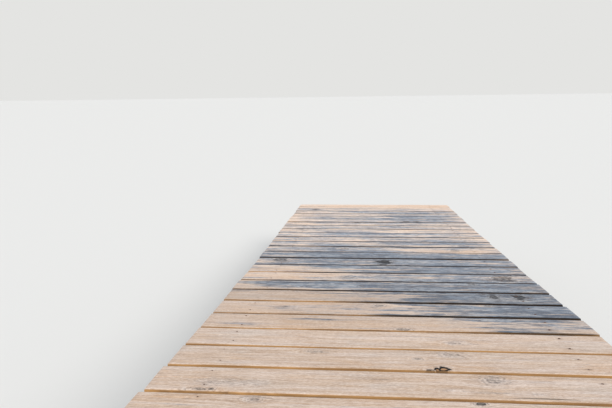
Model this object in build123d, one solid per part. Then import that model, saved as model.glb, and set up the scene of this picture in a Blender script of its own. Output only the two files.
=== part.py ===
from build123d import *
from math import cos, radians, sin, sqrt, tan
from random import Random
import os

# A small timber jetty: a plank deck on two stringers, carried by bents of twin cap beams and round piles.
# Millimetres. +Y runs out to the lake end, +X is to the right when facing the lake, +Z is up.
# The origin is at the middle of the footprint, on the level where the piles meet the water.

os.makedirs("parts", exist_ok=True)

# Deck planks, sawn and laid by eye
board_width = 154
board_thick = 45
board_gap = 6
board_length = 1206
board_edge_ease = 3
boards_per_bay = 12
bays = 4
side_wander = 5
end_wander = 8
wander_seed = 103750

# The deck widens towards the lake end, and its shore half is laid in slightly longer boards
lake_end_spread = 28
lake_spread_run = 2400
shore_board_extra = 16

# Height and fall of the deck, in degrees
deck_fall = 5.2
lake_end_height = 480

# Stringers, with a half-lap splice over the middle bent
stringer_width = 100
stringer_depth = 150
stringer_inset = 133
splice_length = 320

# Header planks that close the stringer ends
header_thick = 45
header_setback = 20
header_end_cover = 30

# Bents
end_overhang = 200
cap_thick = 50
cap_depth = 150
cap_end_cover = 55
pile_diameter = 170
pile_tongue = 90

# Braces, let into shallow flats on the piles
brace_thick = 32
brace_depth = 100
brace_seat = 12
brace_run_on = 50
brace_foot_height = 60
brace_cap_clear = 15
first_braced_bent = 3

# Layout that follows from the sizes above
fall = radians(deck_fall)
board_pitch = board_width + board_gap
board_count = bays * boards_per_bay
deck_length = board_count * board_pitch - board_gap
deck_build = board_thick + stringer_depth
stringer_x = board_length / 2 - stringer_inset
bent_spacing = (deck_length - 2 * end_overhang) / bays
shore_overrun = max(board_thick * sin(fall), deck_build * sin(fall) - header_setback * cos(fall))
lake_end_y = (deck_length * cos(fall) + shore_overrun) / 2

# The deck's own frame: Y from the lake end up to the shore, Z square to the deck, X to the left side
deck_frame = Pos(0, lake_end_y, lake_end_height) * Rot(0, 0, 180) * Rot(deck_fall, 0, 0)

lake, shore = 1, -1
right, left = 1, -1
bents = range(1, bays + 2)
side_names = {left: "left", right: "right"}
face_names = {shore: "shore", lake: "lake"}


def soffit_z(y):
    """Height of the stringers' underside at a place along the jetty."""
    return lake_end_height + (lake_end_y - y) * tan(fall) - deck_build / cos(fall)


def bent_y(bent):
    """Place of a bent, counted from the lake end."""
    along = end_overhang + (bent - 1) * bent_spacing
    return lake_end_y - along * cos(fall) - deck_build * sin(fall)


def cap_bottom_z(bent):
    return soffit_z(bent_y(bent)) - cap_depth


def save(shape, name):
    export_step(shape, f"parts/{name}.step")


# Deck planks


def reach(index):
    """Half the length of the longest board that could lie at this place."""
    spread = lake_end_spread * max(0, 1 - index * board_pitch / lake_spread_run)
    extra = shore_board_extra if 2 * index >= board_count else 0
    return (board_length + extra) / 2 + spread


def plank(index, sawyer):
    """One deck plank, counted from the lake end, with its top edges eased."""
    start = index * board_pitch
    end = start + board_width
    low_x, high_x = -reach(index), reach(index)
    if index > 0:
        low_x += sawyer.uniform(0, end_wander)
        high_x -= sawyer.uniform(0, end_wander)
        start += sawyer.uniform(0, side_wander)
    if index < board_count - 1:
        end -= sawyer.uniform(0, side_wander)
    board = Box(high_x - low_x, end - start, board_thick, align=(Align.MIN, Align.MIN, Align.MAX))
    top_edges = board.edges().filter_by(Axis.X).group_by(Axis.Z)[-1]
    return deck_frame * Pos(low_x, start, 0) * chamfer(top_edges, board_edge_ease)


# Stringers and headers


def stringer(side, end):
    """One timber of a stringer line. The lake timber has the lower half of the splice."""
    near = header_setback + header_thick
    middle = deck_length / 2
    lap_near, lap_far = middle - splice_length / 2, middle + splice_length / 2
    top, bottom = -board_thick, -deck_build
    half = (top + bottom) / 2
    if end == lake:
        under = Polyline((near, half), (near, bottom), (lap_far, bottom), (lap_far, half))
        over = Polyline((lap_far, half), (lap_near, half), (lap_near, top), (near, top), (near, half))
    else:
        far = deck_length - near
        under = Polyline((lap_far, half), (lap_far, bottom), (far, bottom), (far, top))
        over = Polyline((far, top), (lap_near, top), (lap_near, half), (lap_far, half))
    profile = Plane.YZ * make_face([*under.edges(), *over.edges()])
    beam = extrude(profile, amount=stringer_width / 2, both=True)
    return deck_frame * Pos(-side * stringer_x, 0, 0) * beam


def header(end):
    """The plank that closes the stringer ends, under the last deck board."""
    from_end = header_setback + header_thick / 2
    along = from_end if end == lake else deck_length - from_end
    length = board_length - 2 * header_end_cover
    board = Box(length, header_thick, stringer_depth, align=(Align.CENTER, Align.CENTER, Align.MAX))
    return deck_frame * Pos(0, along, -board_thick) * board


# Bents


def cap(bent, face):
    """One of the twin cap beams, its top bevelled to the fall of the deck."""
    near = bent_y(bent) + face * pile_tongue / 2
    far = near + face * cap_thick
    bottom = cap_bottom_z(bent)
    section = Polyline(
        (near, bottom), (far, bottom), (far, soffit_z(far)), (near, soffit_z(near)), close=True
    )
    half_length = board_length / 2 - cap_end_cover
    return extrude(Plane.YZ * make_face(section), amount=half_length, both=True)


def diagonal(run, low, high):
    """Outline of a plumb-cut board that climbs from the low to the high corner over a run."""
    height = high - low
    reach = sqrt(run**2 + height**2 - brace_depth**2)
    rise = (height * run - brace_depth * reach) / (run**2 - brace_depth**2)
    climb = rise * run
    return make_face(
        Polyline((0, low), (run, low + climb), (run, high), (0, high - climb), close=True)
    )


def cross_brace(bent, face):
    """A diagonal across the bent, let into the lake or the shore face of its piles."""
    half_run = stringer_x + brace_run_on
    high = cap_bottom_z(bent) - brace_cap_clear
    seat_y = bent_y(bent) + face * (pile_diameter / 2 - brace_seat)
    outline = Plane.XZ * diagonal(2 * half_run, brace_foot_height, high)
    board = Pos(-half_run, 0, 0) * extrude(outline, amount=brace_thick)
    if face == lake:
        board = board.rotate(Axis.Z, 180)
    return Pos(0, seat_y, 0) * board


def side_brace(bent, side):
    """A diagonal along the jetty, from this bent's foot up to the head of the next one ashore."""
    start = bent_y(bent) + brace_run_on
    run = start - (bent_y(bent + 1) - brace_run_on)
    high = cap_bottom_z(bent + 1) - brace_cap_clear
    outline = Plane.YZ * diagonal(run, brace_foot_height, high)
    board = extrude(outline, amount=side * brace_thick).mirror(Plane.XZ)
    return Pos(side * (stringer_x + pile_diameter / 2 - brace_seat), start, 0) * board


def pile(bent, side, seated):
    """A round log, plumb, with its head notched for the caps and flats where the braces bear."""
    y = bent_y(bent)
    blank = soffit_z(y) + pile_diameter * tan(fall)
    log = Cylinder(pile_diameter / 2, blank, align=(Align.CENTER, Align.CENTER, Align.MIN))
    soffit = Plane(origin=(0, 0, soffit_z(y)), x_dir=(1, 0, 0), z_dir=(0, sin(fall), cos(fall)))
    log = split(log, bisect_by=soffit, keep=Keep.BOTTOM)
    notch = Box(pile_diameter, pile_diameter, blank)
    for face in (shore, lake):
        notch_y = face * (pile_tongue + pile_diameter) / 2
        log -= Pos(0, notch_y, cap_bottom_z(bent) + blank / 2) * notch
    log = Pos(side * stringer_x, y, 0) * log
    for board in seated:
        log -= board
    return log


sawyer = Random(wander_seed)
planks = [plank(index, sawyer) for index in range(board_count)]
for bay in range(bays):
    first = bay * boards_per_bay
    save(Compound(children=planks[first : first + boards_per_bay]), f"deck_planks_bay_{bay + 1}")

for side in (left, right):
    for end in (shore, lake):
        save(stringer(side, end), f"stringer_{side_names[side]}_{face_names[end]}")

for end in (shore, lake):
    save(header(end), f"header_{face_names[end]}")

braced = bents[first_braced_bent - 1 :]
cross_braces = {(b, face): cross_brace(b, face) for b in braced for face in (shore, lake)}
side_braces = {(b, side): side_brace(b, side) for b in braced[:-1] for side in (left, right)}

for (bent, face), board in cross_braces.items():
    save(board, f"cross_brace_{face_names[face]}_bent_{bent}")

for (bent, side), board in side_braces.items():
    save(board, f"side_brace_{side_names[side]}_bay_{bent}")

for bent in bents:
    for face in (shore, lake):
        save(cap(bent, face), f"cap_{face_names[face]}_bent_{bent}")
    for side in (left, right):
        seated = [board for (b, _), board in cross_braces.items() if b == bent]
        seated += [board for (b, s), board in side_braces.items() if s == side and bent in (b, b + 1)]
        save(pile(bent, side, seated), f"pile_{side_names[side]}_bent_{bent}")
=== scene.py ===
# %% [markdown]
# # Dressing a small timber jetty
#
# The jetty is a plank deck on two stringers, which lie on twin cap beams bolted to round piles. The
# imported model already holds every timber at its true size. This script gives the timber its surface:
# worn edges, drying cracks, knots, nails, bolts and the colours of pine that has stood outdoors.

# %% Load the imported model
from math import cos, pi, radians, sin
from random import Random
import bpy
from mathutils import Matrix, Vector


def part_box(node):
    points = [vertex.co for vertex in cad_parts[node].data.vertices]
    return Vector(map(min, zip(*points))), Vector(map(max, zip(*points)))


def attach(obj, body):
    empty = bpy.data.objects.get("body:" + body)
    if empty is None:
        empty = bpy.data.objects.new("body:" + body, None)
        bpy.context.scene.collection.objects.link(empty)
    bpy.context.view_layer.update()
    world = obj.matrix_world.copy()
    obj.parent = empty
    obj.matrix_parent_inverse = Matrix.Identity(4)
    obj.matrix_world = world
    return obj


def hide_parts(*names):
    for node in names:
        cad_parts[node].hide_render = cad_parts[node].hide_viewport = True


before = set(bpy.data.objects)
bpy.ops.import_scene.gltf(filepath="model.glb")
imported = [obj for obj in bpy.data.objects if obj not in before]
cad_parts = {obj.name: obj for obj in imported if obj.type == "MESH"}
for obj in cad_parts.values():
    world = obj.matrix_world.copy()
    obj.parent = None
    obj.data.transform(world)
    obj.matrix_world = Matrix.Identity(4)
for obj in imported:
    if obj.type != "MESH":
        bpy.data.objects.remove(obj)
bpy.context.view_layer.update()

from types import SimpleNamespace

import bmesh
import bpy
import numpy as np
from mathutils import Matrix, Vector, noise

print("pieces in the frame:", len(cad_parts))

# %% [markdown]
# ## The deck's own directions
#
# The deck falls gently towards the lake, so planks are easiest to think about in the deck's own
# directions: across it, along it from the lake end, and up from its face. One matrix turns those
# into places in the model, and its inverse goes back.

# %% Deck directions
mm = 0.001
deck_fall = radians(5.2)
lake_edge_height = 480 * mm
board_thick = 45 * mm
stringer_line = 470 * mm
stringer_depth = 150 * mm

lake_edge_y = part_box("deck_planks_bay_1")[1].y
along_deck = Vector((0, -cos(deck_fall), sin(deck_fall)))
above_deck = Vector((0, sin(deck_fall), cos(deck_fall)))
deck_to_model = Matrix(
    (
        (1, along_deck.x, above_deck.x, 0),
        (0, along_deck.y, above_deck.y, lake_edge_y),
        (0, along_deck.z, above_deck.z, lake_edge_height),
        (0, 0, 0, 1),
    )
)
model_to_deck = deck_to_model.inverted()
print("lake edge at y =", round(lake_edge_y, 4))


# %% [markdown]
# ## Colours and nodes
#
# Colours are written as the hex values a painter would pick on screen, and one function turns them
# into the linear values that light is worked out in. Another adds a shader node with its settings
# and its links. It fills the node's open sockets in order, so a layer of paint or weather below
# takes a line or two. The most common settings get short names of their own.

# %% Colour and node helpers
def linear(hex_value):
    """A colour from its sRGB hex value."""
    channels = [int(hex_value[i : i + 2], 16) / 255 for i in (1, 3, 5)]
    return [c / 12.92 if c <= 0.04045 else ((c + 0.055) / 1.055) ** 2.4 for c in channels] + [1.0]


def feed(socket, value):
    """Give a socket a node's output to link, a hex colour or a value. None leaves it as it is."""
    if isinstance(value, bpy.types.NodeSocket):
        socket.id_data.links.new(value, socket)
    elif value is not None:
        socket.default_value = linear(value) if isinstance(value, str) else value


def add(tree, kind, *inputs, out=None, **named):
    """Add a node, and return its first open output or the one that is named.

    Inputs come in the order of the open sockets, or by name. A name without a capital is a setting.
    """
    node = tree.nodes.new("ShaderNode" + kind)
    for name, value in named.items():
        if name.islower():
            setattr(node, name, value)
    for socket, value in zip([s for s in node.inputs if s.enabled], inputs):
        feed(socket, value)
    for name, value in named.items():
        if not name.islower():
            feed(node.inputs[name], value)
    return node.outputs[out] if out else next(s for s in node.outputs if s.enabled)


plus, minus, times = ({"operation": name} for name in ("ADD", "SUBTRACT", "MULTIPLY"))
times_plus = {"operation": "MULTIPLY_ADD"}
smooth = {"interpolation_type": "SMOOTHSTEP"}
colours = {"data_type": "RGBA"}


def new_material(name):
    """An empty material, with its tree and its shader."""
    material = bpy.data.materials.new(name)
    material.use_nodes = True
    tree = material.node_tree
    return material, tree, tree.nodes["Principled BSDF"]


def give_finish(shader, finish):
    """Set the shader's own sockets, each by its name."""
    for name, value in finish.items():
        feed(shader.inputs[name], value)


print("mid grey in linear light:", round(linear("#808080")[0], 3))

# %% [markdown]
# ## Grain, stains and rings
#
# Three things make wood: noise drawn out along the grain, stains laid one over the other where such
# a noise is high or low, and growth rings. A stain is written as what it follows, where on that it
# starts and is full, how strong it is, and its colour. Starts and ends may run either way.


# %% Wood helpers
def stretched_noise(tree, where, along, across, detail, roughness, seed):
    """Noise drawn out along the grain, with so many marks per metre along it and across it."""
    shift = (seed, seed * 1.7, seed * 0.3)
    moved = add(tree, "Mapping", Vector=where, Location=shift, Scale=(along, across, across))
    return add(tree, "TexNoise", Vector=moved, Scale=1.0, Detail=detail, Roughness=roughness)


def off_centre(tree, value, strength):
    """A noise value made to swing around zero."""
    return add(tree, "Math", add(tree, "Math", value, 0.5, **minus), strength, **times)


def from_middle(tree, value):
    """How far a noise is from its middle, which is nothing along thin winding lines."""
    return add(tree, "Math", off_centre(tree, value, 1.0), operation="ABSOLUTE")


def plane_length(tree, first, second):
    """Length of an offset, from its two parts."""
    squares = [add(tree, "Math", part, 2.0, operation="POWER") for part in (first, second)]
    return add(tree, "Math", add(tree, "Math", *squares, **plus), operation="SQRT")


def where_all(tree, *parts):
    """A share that is full only where every part is: each a share, or (follows, start, full)."""
    share, *others = (
        add(tree, "MapRange", *part, **smooth) if isinstance(part, tuple) else part for part in parts
    )
    for other in others:
        share = add(tree, "Math", share, other, **times)
    return share


def lay_over(tree, under, share, strength, colour):
    """Lay a colour over another where a share says so."""
    return add(tree, "Mix", add(tree, "Math", share, strength, **times), under, colour, **colours)


def stain_over(tree, under, *stains):
    """Lay stains over a colour: what each follows, its start, where it is full, strength, colour."""
    for *ramp, strength, colour in stains:
        under = lay_over(tree, under, where_all(tree, tuple(ramp)), strength, colour)
    return under


def growth_ring(tree, where, wander, ring_width):
    """How far a point lies through its growth ring, from its distance to the pith."""
    section = add(tree, "VectorMath", where, (0.0, 1.0, 1.0), **times)
    pith_far = add(tree, "VectorMath", section, operation="LENGTH")
    uneven = add(tree, "Math", wander, pith_far, **plus)
    return add(tree, "Math", add(tree, "Math", uneven, ring_width, operation="DIVIDE"), operation="FRACT")


# %% [markdown]
# ## Wood that knows its log
#
# A sawn piece shows the rings of the tree it came from: long arches on its face, straight lines on
# its sides and arcs on its ends. That only looks right when all its faces cut one and the same log,
# so every piece carries attributes made with its mesh:
#
# - "place" is the point's place on the piece: along the grain, across it, depth below the face
# - "log" shifts that into the tree, so the shader can measure the distance to the pith
# - "look" is how light the wood is, painted light included, how silvered and painted in shade it is,
#   and how little weathered it is
# - "cut" is one on sawn ends
# - "knot" is the offset to the nearest knot in that knot's half sizes, and how dark the knot is
# - "nail" is the offset to the nearest nail in widths of its head, and how bare the nail is
#
# The last two let a shader draw rings and stains exactly around things whose places are known.


# %% What the pine is drawn from
def read_wood(tree, ring_width):
    """The attributes, the grain bent round the knots, its noises and its rings, kept by name."""
    wood = SimpleNamespace(tree=tree)
    names = ("place", "look", "knot", "nail")
    stored = [add(tree, "Attribute", attribute_name=name, out="Vector") for name in names]
    place, look, knot, nail = (add(tree, "SeparateXYZ", vector).node.outputs for vector in stored)
    wood.log = add(tree, "Attribute", attribute_name="log", out="Vector")
    wood.cut = add(tree, "Attribute", attribute_name="cut", out="Fac")
    _, wood.across, wood.depth = place
    wood.tone, wood.silvering, wood.shelter = look
    knot_x, knot_y, wood.knot_dark = knot
    wood.nail_x, wood.nail_y, wood.nail_bare = nail

    # The grain makes way for a knot by about 11 mm, from five of its half sizes away
    wood.knot_far = plane_length(tree, knot_x, knot_y)
    push = where_all(tree, knot_y, (wood.knot_far, 5.0, 0.4), -11 * mm)
    wood.grain = add(tree, "VectorMath", wood.log, add(tree, "CombineXYZ", Y=push), **plus)

    # Marks per metre along and across the grain, detail, roughness and seed. Single fibres are too
    # fine to show, so they are drawn in bundles
    noises = {
        "fuzz": (110, 420, 2, 0.7, 7),  # loose fibres, 9 by 2.4 mm
        "fibre": (15, 260, 3, 0.65, 11),  # bundles of fibres, 67 by 4 mm
        "fleck": (28, 110, 3, 0.7, 67),  # flecks, 36 by 9 mm
        "blotch": (19, 30, 5, 0.75, 59),  # blotches, 53 by 33 mm
        "streak": (3.8, 75, 5, 0.65, 23),  # streaks, 260 by 13 mm
        "wisp": (3.2, 25, 6, 0.72, 41),  # wisps, 310 by 40 mm
        "patch": (4.0, 13, 4, 0.6, 53),  # patches, 250 by 77 mm
        "broad": (0.9, 14, 3, 0.55, 37),  # broad bands, 1.1 m by 71 mm
    }
    for name, numbers in noises.items():
        setattr(wood, name, stretched_noise(tree, wood.grain, *numbers))

    # Latewood is the dark outer part of each ring, with a sharp outer edge
    wander = off_centre(tree, stretched_noise(tree, wood.grain, 1.6, 9, 3, 0.5, 3), 30 * mm)
    ring = growth_ring(tree, wood.grain, wander, ring_width)
    wood.latewood = where_all(tree, (ring, 0.35, 0.9), (ring, 1.0, 0.93))
    return wood


# %% [markdown]
# ## The worn face
#
# Where feet and rain have worn a plank, its face is pale, with warmer and darker wood showing along
# the grain. Every stain follows one of the noises, so the marks have the sizes given above: from
# patches as wide as half a plank down to single fibres.


# %% Worn face
def worn_face(wood, tint, fibre_share):
    """Pale worn wood, warmer and darker along the grain."""
    tree = wood.tree
    face = stain_over(
        tree,
        tint.warm,
        (wood.streak, 0.36, 0.64, 1.0, tint.pale),
        (wood.streak, 0.45, 0.3, 0.3, tint.dark),
        (wood.broad, 0.6, 0.32, 0.4, tint.warm),
        (wood.wisp, 0.55, 0.3, 0.35, tint.warm),
        (wood.patch, 0.5, 0.7, 0.55, tint.golden),
        (wood.patch, 0.48, 0.3, 0.45, "#cbc2ba"),
    )
    return stain_over(
        tree,
        lay_over(tree, face, wood.latewood, 0.16, tint.dark),
        (wood.fibre, 0.56, 0.34, fibre_share, tint.dark),
        (wood.fuzz, 0.52, 0.32, fibre_share * 0.9, tint.dark),
        (wood.fuzz, 0.5, 0.7, fibre_share, "#f3e8df"),
    )


# %% [markdown]
# ## Silvering and painted shade
#
# Sun and spray turn the outermost fibres of pine grey. It starts as a thin film along the grain,
# which lets the warm wood through, and ends as flecks that are solid grey. The amount comes from
# "look", and the noises break its edge up, so the grey is itself streaked from pale to nearly slate.
# On the deck this grey is also painted shade: its blue-grey, mottled pale and dark, is painted
# dappled shade under a blue sky, and the paler warm wood left between it is painted sunlight.


# %% Silver film and painted shade
def silver_and_shade_over(wood, tint, face):
    """Grey film and flecks, on the deck also painted shade. Keeps their share as wood.silvered."""
    tree = wood.tree
    greying_and_shade = wood.silvering
    for ragged, strength in ((wood.streak, 2.6), (wood.wisp, 3.4), (wood.fibre, 0.6)):
        greying_and_shade = add(tree, "Math", greying_and_shade, off_centre(tree, ragged, strength), **plus)
    thin_grey = where_all(tree, (greying_and_shade, -0.35, 0.85))
    greying_and_shade = add(tree, "Math", greying_and_shade, off_centre(tree, wood.fleck, 1.1), **plus)
    solid = where_all(tree, (greying_and_shade, 0.1, 0.6))
    thin = add(tree, "Math", thin_grey, 0.38, **times)
    wood.silvered = add(tree, "Math", solid, 0.62, thin, **times_plus)
    # The grey is silvering and also painted shade under a blue sky, mottled with painted dappled light
    grey = stain_over(
        tree,
        tint.silver,
        (wood.wisp, 0.51, 0.4, 0.9, tint.silver_dark),
        (wood.streak, 0.5, 0.36, 0.8, "#c0bfbe"),
        (wood.streak, 0.54, 0.66, 0.6, tint.silver_dark),
        (wood.fibre, 0.56, 0.36, 0.5, tint.silver_dark),
        (wood.patch, 0.5, 0.38, 0.65, tint.silver_dark),
        (wood.patch, 0.54, 0.7, 0.45, "#b7b6b5"),
        (wood.blotch, 0.52, 0.62, 0.65, tint.silver_dark),
        (wood.blotch, 0.46, 0.32, 0.35, "#cac9c8"),
        (wood.fleck, 0.51, 0.61, 0.75, tint.silver_dark),
        (wood.fleck, 0.47, 0.35, 0.28, "#c6c5c4"),
    )
    # Painted sunlight: the warm wood between the grey is painted paler wherever the deck is grey and in
    # shade
    face = stain_over(tree, face, (wood.silvering, 0.05, 0.3, 0.35, "#ecd9c8"))
    return stain_over(
        tree,
        lay_over(tree, face, wood.silvered, 0.93, grey),
        (wood.blotch, 0.56, 0.74, 0.28, tint.dark),
        (wood.fleck, 0.58, 0.7, 0.2, tint.dark),
    )


# %% [markdown]
# ## Edge dirt, painted seam shade and drying cracks
#
# The worn long edges of a plank are darkened, a little everywhere as dirt and mostly as painted shade
# where the deck is painted in shade, and that draws each seam as a dark line. Drying cracks are
# hairlines along the grain. A noise is at its middle value along thin winding lines, and those lines
# make good cracks once they are kept to a few places.


# %% Dirt, painted seam shade and cracks
plank_half_width = 77 * mm


def dirt_and_shade_over(wood, face):
    """Dirt and painted shade on the last ten millimetres beside each long edge."""
    tree = wood.tree
    from_centre = add(tree, "Math", wood.across, operation="ABSOLUTE")
    at_edge = (from_centre, plank_half_width - 10 * mm, plank_half_width - 1.5 * mm)
    # damp here is how deep in painted shade a point lies: the grey and painted shade, broken up by wisps
    damp = add(tree, "Math", wood.silvering, off_centre(tree, wood.wisp, 1.0), **plus)
    wood.shaded = where_all(tree, (damp, -0.3, 0.2))
    # Painted shade: the edge goes near black where the deck is painted in shade, a tenth of that
    # everywhere as dirt
    dirt_and_shade = where_all(tree, at_edge, add(tree, "Math", wood.shaded, 0.85, 0.1, **times_plus))
    return lay_over(tree, face, dirt_and_shade, 1.0, "#1c1b1b")


def cracks_over(wood, face):
    """Thin dark lines along the grain, in a few places only."""
    tree = wood.tree
    line = from_middle(tree, stretched_noise(tree, wood.grain, 1.1, 60, 2, 0.5, 71))
    zone = stretched_noise(tree, wood.grain, 2.2, 22, 2, 0.5, 89)
    wood.crack = where_all(tree, (line, 0.014, 0.002), (zone, 0.6, 0.68))
    return lay_over(tree, face, wood.crack, 0.7, "#3a2d24")


print("half a plank is", round(plank_half_width / mm, 1), "mm wide")


# %% [markdown]
# ## Knots and nail stains
#
# A knot is a branch cut across: a heart that darkens and breaks up, and rings of bent grain round it
# that fade away. How far a point is from the knot, made ragged by noise, gives all of them. A knot
# of darkness one has broken out, and shows brown wood inside a black rim. Rust and damp draw a
# short stain along the grain from each nail, strongest at the nails whose heads lie bare.


# %% Knots and nail stains
def knots_over(wood, face):
    """Bent grain and a broken dark heart. Keeps the heart's share as wood.heart."""
    tree, dark = wood.tree, wood.knot_dark
    speck = stretched_noise(tree, wood.log, 85, 130, 4, 0.65, 97)  # crumbs, 12 by 8 mm
    bend = stretched_noise(tree, wood.log, 13, 34, 3, 0.6, 101)  # bends, 77 by 29 mm
    ragged = add(tree, "Math", wood.knot_far, off_centre(tree, bend, 2.4), wood.knot_far, **times_plus)
    ragged = add(tree, "Math", ragged, off_centre(tree, speck, 0.9), **plus)

    # Rings round the knot, strongest round a dark one and where the wood is grey and painted in shade
    turns = add(tree, "Math", add(tree, "Math", ragged, 9.0, **times), operation="SINE")
    swirl = where_all(
        tree,
        (turns, -0.1, 0.95),
        (ragged, 3.0, 1.0),
        (speck, 0.4, 0.56),
        add(tree, "Math", dark, 0.6, 0.5, **times_plus),
        add(tree, "Math", wood.silvered, 0.2, 0.7, **times_plus),
    )
    face = stain_over(tree, face, (ragged, 2.4, 0.9, 0.25, "#b9b3b0"))
    face = lay_over(tree, face, swirl, 1.0, "#4e4543")

    # The heart: sound and whole in a dark knot, crumbled in a pale one
    sound = add(tree, "Math", dark, 4.0, operation="POWER")
    heart_edge = add(tree, "Math", sound, -0.4, ragged, **times_plus)
    crumbs = where_all(tree, (speck, 0.42, 0.54))
    whole = add(tree, "Math", crumbs, sound, operation="MAXIMUM")
    wood.heart = where_all(tree, (heart_edge, 1.0, 0.7), whole)
    broken_out = add(tree, "Math", dark, 200.0, operation="POWER")
    core = where_all(tree, (ragged, 0.62, 0.3), broken_out)
    flakes = where_all(tree, (speck, 0.56, 0.64), add(tree, "Math", 1.1, dark, **minus))
    colour = add(tree, "Mix", dark, "#93877d", "#0f0c0b", **colours)
    colour = lay_over(tree, colour, core, 0.85, "#b98f68")
    colour = lay_over(tree, colour, flakes, 0.8, "#b09a84")
    # Painted shade: where the deck is grey and painted in shade, the heart is painted bluish near black
    colour = lay_over(tree, colour, wood.silvered, 0.75, "#14161a")
    heart_share = where_all(tree, wood.heart, add(tree, "Math", dark, 0.88, 0.12, **times_plus))
    return add(tree, "Mix", heart_share, face, colour, **colours)


def nail_stains_over(wood, face):
    """A stain round each nail, twice as long along the grain as it is wide."""
    tree = wood.tree
    nail_far = plane_length(tree, add(tree, "Math", wood.nail_x, 0.5, **times), wood.nail_y)
    nail_edge = add(tree, "Math", nail_far, off_centre(tree, wood.fibre, 0.7), **plus)
    stained = where_all(tree, (nail_edge, 1.0, 0.4), wood.nail_bare)
    return lay_over(tree, face, stained, 0.4, "#6b5341")


# %% [markdown]
# ## Sides, undersides and sawn ends
#
# Weather reaches the sides less, so they keep the ochre of pine and turn grey-brown further down.
# Where the deck is painted in shade, their upper part is painted near black as shade in the seams.
# Sawn ends drink water: they are grey and dark, with the rings as arcs and a few cracks.
# The relief follows the same noises, because weather takes the soft wood first and leaves the
# latewood standing.


# %% Sides, ends and relief
def sides_under(wood, tint, face):
    """Put sides and underside round the face, from two millimetres below it."""
    tree = wood.tree
    edge = add(tree, "Math", wood.depth, off_centre(tree, wood.streak, 1.6 * mm), **plus)
    open_face = where_all(tree, (edge, -2.1 * mm, -0.5 * mm))
    exposed = add(tree, "Math", open_face, wood.shelter, use_clamp=True, **minus)
    body = stain_over(
        tree,
        tint.side_dark,
        (wood.streak, 0.35, 0.65, 1.0, tint.side),
        (wood.depth, -6 * mm, -18 * mm, 0.75, tint.under),
    )
    body = lay_over(tree, body, wood.latewood, 0.35, tint.side_dark)
    body = stain_over(
        tree,
        body,
        (wood.fibre, 0.56, 0.36, 0.3, tint.side_dark),
        (wood.patch, 0.5, 0.72, 0.35, "#6f6154"),
    )
    body = lay_over(tree, body, wood.heart, 0.5, "#4a3526")
    # Painted shade in the seams: where the deck is painted in shade, the upper sides are painted near
    # black
    seam_shade = where_all(tree, wood.shaded, (wood.depth, -30 * mm, -12 * mm))
    body = lay_over(tree, body, seam_shade, 0.94, "#121111")
    return add(tree, "Mix", exposed, body, face, **colours)


def sawn_ends_over(wood, tint, colour):
    """Ends cut across the log: damp blots 26 mm wide, rings, and cracks between the blots."""
    tree = wood.tree
    blots = stretched_noise(tree, wood.log, 0, 38, 4, 0.6, 113)
    sawn = stain_over(tree, tint.under, (blots, 0.38, 0.62, 1.0, tint.end))
    sawn = lay_over(tree, sawn, wood.latewood, 0.6, tint.side_dark)
    sawn = stain_over(tree, sawn, (from_middle(tree, blots), 0.012, 0.002, 0.7, "#3a2f26"))
    return add(tree, "Mix", wood.cut, colour, sawn, **colours)


def wood_relief(wood):
    """Fibres and latewood stand up, cracks and knots go down."""
    tree = wood.tree
    height = add(tree, "Math", wood.fuzz, 0.35, **times)
    for part, share in (
        (wood.fibre, 0.8),
        (wood.latewood, 0.35),
        (wood.streak, 0.7),
        (wood.crack, -2.4),
        (wood.heart, -0.5),
    ):
        height = add(tree, "Math", part, share, height, **times_plus)
    return add(tree, "Bump", Height=height, Strength=0.6, Distance=1.2 * mm)


# %% [markdown]
# ## Weathered pine
#
# All of the layers together are the finish of a sawn pine board that was never painted. To the eye
# it is dull, because the weather has opened its pores: it is rough, it hardly mirrors anything, and
# each board is a little lighter or darker than its neighbour. Its loose fibres are a felt that
# catches the cool sky at a low angle, which a faint sheen gives. The framing under the deck is the
# same pine, darker and browner, because less sun reaches it.


# %% Weathered pine
def weathered_pine(name, tint, ring_width, fibre_share, rough):
    """Sawn pine left outdoors, built up from the layers above."""
    material, tree, shader = new_material(name)
    wood = read_wood(tree, ring_width)
    face = silver_and_shade_over(wood, tint, worn_face(wood, tint, fibre_share))
    for layer in (dirt_and_shade_over, cracks_over, knots_over, nail_stains_over):
        face = layer(wood, face)
    colour = sawn_ends_over(wood, tint, sides_under(wood, tint, face))
    finish = {
        "Base Color": add(tree, "HueSaturation", Color=colour, Value=wood.tone),
        "Roughness": add(tree, "MapRange", wood.streak, 0.3, 0.7, rough - 0.08, rough + 0.08, **smooth),
        "Normal": wood_relief(wood),
        "IOR": 1.5,
        "Specular IOR Level": 0.1,
        "Sheen Weight": 0.09,
        "Sheen Roughness": 0.5,
        "Sheen Tint": "#bdc6d4",
    }
    give_finish(shader, finish)
    print(name, "nodes:", len(tree.nodes))
    return material


# The deck's blue-grey silver colours are painted shade under a blue sky as well as silvering
deck_tint = SimpleNamespace(
    pale="#ddcbbe",
    warm="#cbb199",
    golden="#cfab88",
    dark="#8d7361",
    silver="#7a899a",
    silver_dark="#424f60",
    side="#b58b5a",
    side_dark="#80603f",
    under="#8c7b68",
    end="#a59684",
)
framing_tint = SimpleNamespace(
    pale="#b5a596",
    warm="#9d8971",
    golden="#a58b6a",
    dark="#5f4e40",
    silver="#8d8c8a",
    silver_dark="#5d5b59",
    side="#a08465",
    side_dark="#6f5a45",
    under="#8f7d69",
    end="#93826d",
)
deck_pine = weathered_pine("weathered_pine_decking", deck_tint, 5 * mm, fibre_share=0.35, rough=0.82)
framing_pine = weathered_pine("sawn_pine_framing", framing_tint, 6 * mm, fibre_share=0.4, rough=0.8)

# %% [markdown]
# ## Peeled logs
#
# The piles are whole logs with the bark peeled off. Their grain runs up the log, they split in long
# vertical checks as they dry, and dark rings show where branches grew. The foot is damp and dark
# from splash, with a green film at the water line. Growth rings only show on the sawn faces of the
# notched head. To the eye the skin is a dry grey-brown, and a little glossier where it is wet.


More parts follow.
